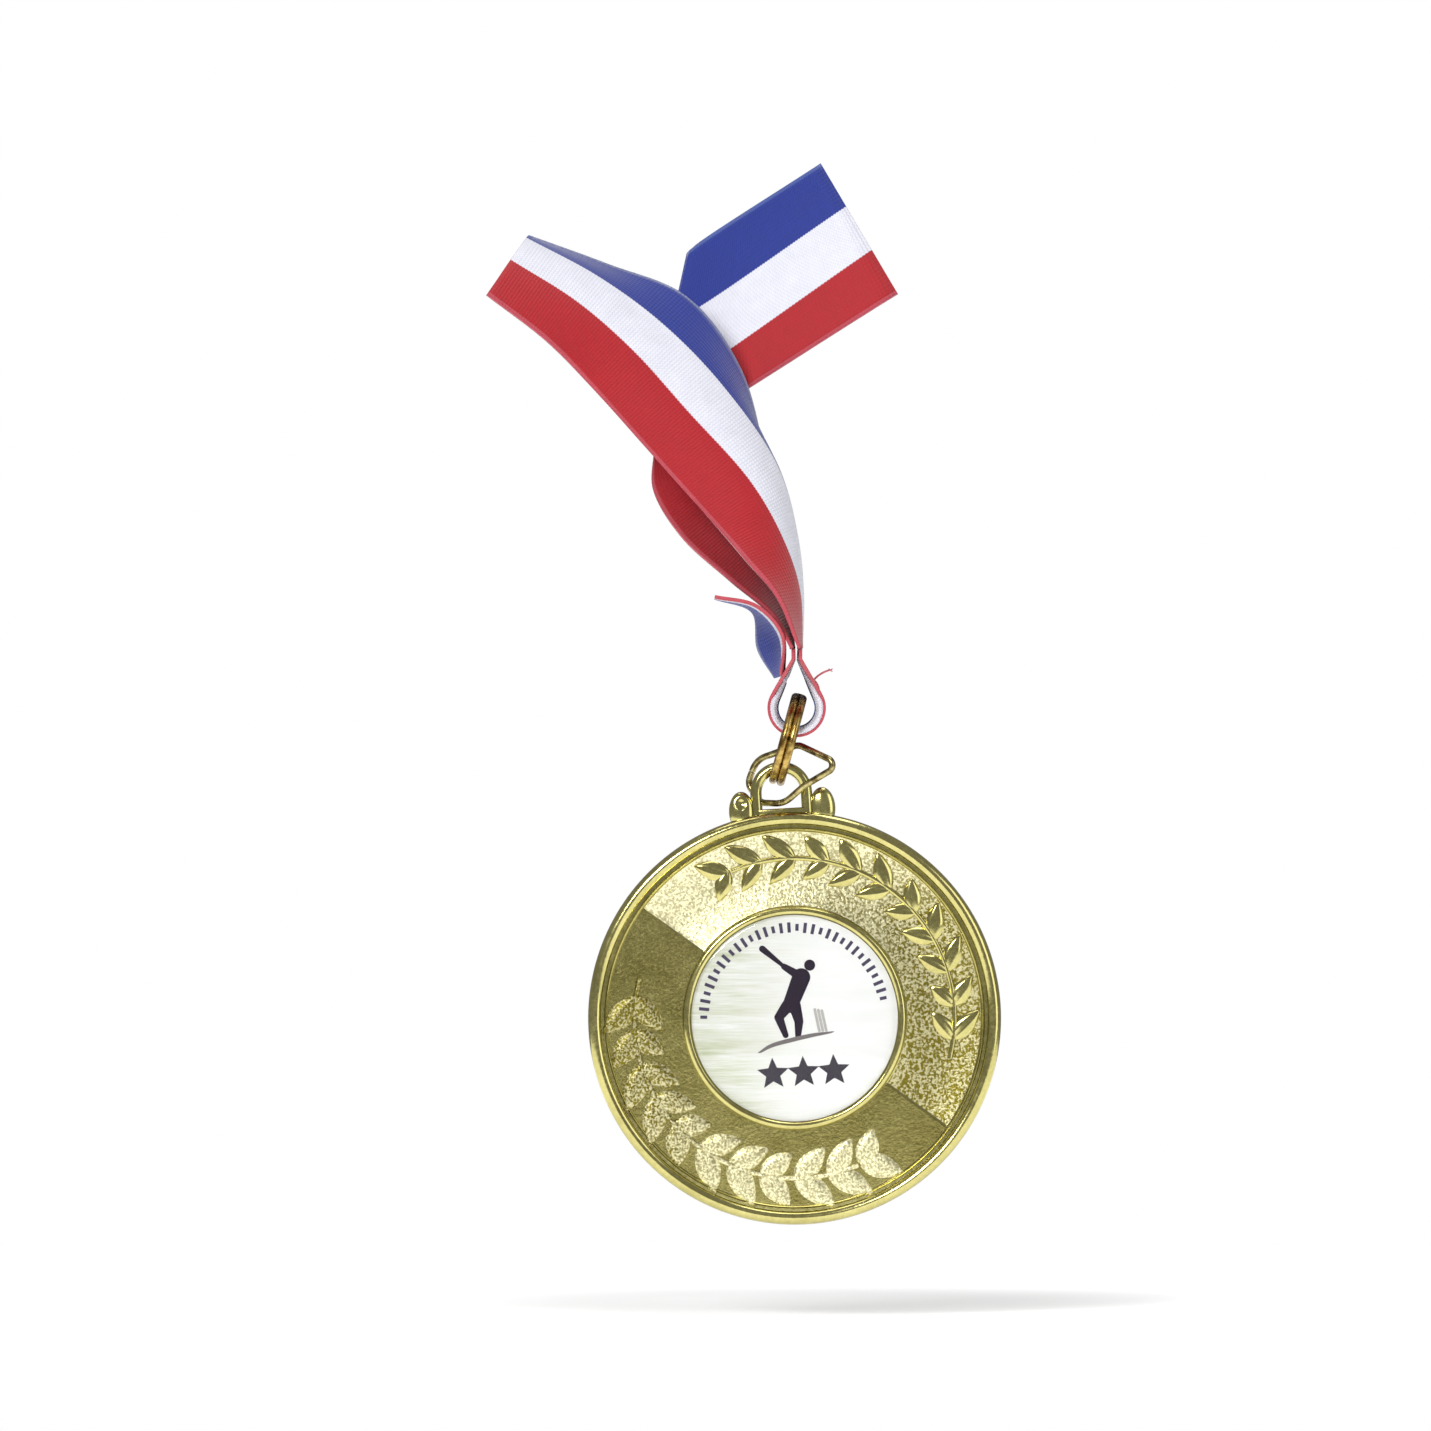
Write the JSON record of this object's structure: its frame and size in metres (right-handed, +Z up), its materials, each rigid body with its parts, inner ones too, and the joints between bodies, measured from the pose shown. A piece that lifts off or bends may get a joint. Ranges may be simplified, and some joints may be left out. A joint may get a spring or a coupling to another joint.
{
  "type": "medal",
  "caption": "Round cast medal with a laurel relief and a domed printed centre, hung by a split ring from a sewn, striped neck ribbon.",
  "frame": {"origin": "midway between the two ribbon ends, where the ribbon is held", "axes": "+Z up, the medal's front faces -Y, +X to the right seen from the front"},
  "size_m": [0.0622, 0.029, 0.1291],
  "materials": {
    "cast_gold": "pale gold plate on a zinc casting, polished rim and leaves, fine sand grain on one half of the field",
    "adhesive": "thin foam adhesive pad",
    "printed_metal": "horizontally brushed, with dark print",
    "clear_dome": "clear poured resin dome",
    "ring_brass": "polished, dulled",
    "ring_nickel_brass": "thin plated wire",
    "ribbon": "ribbed woven polyester in three equal stripes of blue, white and red",
    "thread": "spun sewing thread"
  },
  "bodies": {
    "ribbon": {"ribbon_front_leg": "ribbon", "ribbon_back_leg": "ribbon", "ribbon_loop": "ribbon", "ribbon_tail": "ribbon", "seam_stitching": "thread", "thread_end": "thread"},
    "ring": {"split_ring": "ring_brass"},
    "medal": {"medal_body": "cast_gold", "insert_adhesive": "adhesive", "insert_disc": "printed_metal", "insert_dome": "clear_dome"},
    "jump": {"jump_ring": "ring_nickel_brass"}
  },
  "joints": [
    {"name": "ring_swing", "type": "hinge", "parent": "ribbon", "child": "ring", "pos_m": [0.01298, 0, -0.05805], "axis": [0, 1, 0], "range_deg": [-10, 12]},
    {"name": "medal_swing", "type": "hinge", "parent": "ring", "child": "medal", "pos_m": [0.01161, 0, -0.06314], "axis": [1, 0, 0], "range_deg": [-50, 50]},
    {"name": "jump_ring_flop", "type": "hinge", "parent": "medal", "child": "jump", "pos_m": [0.01179, 0, -0.06713], "axis": [0.8572, -0.515, 0], "range_deg": [-4, 5]}
  ]
}
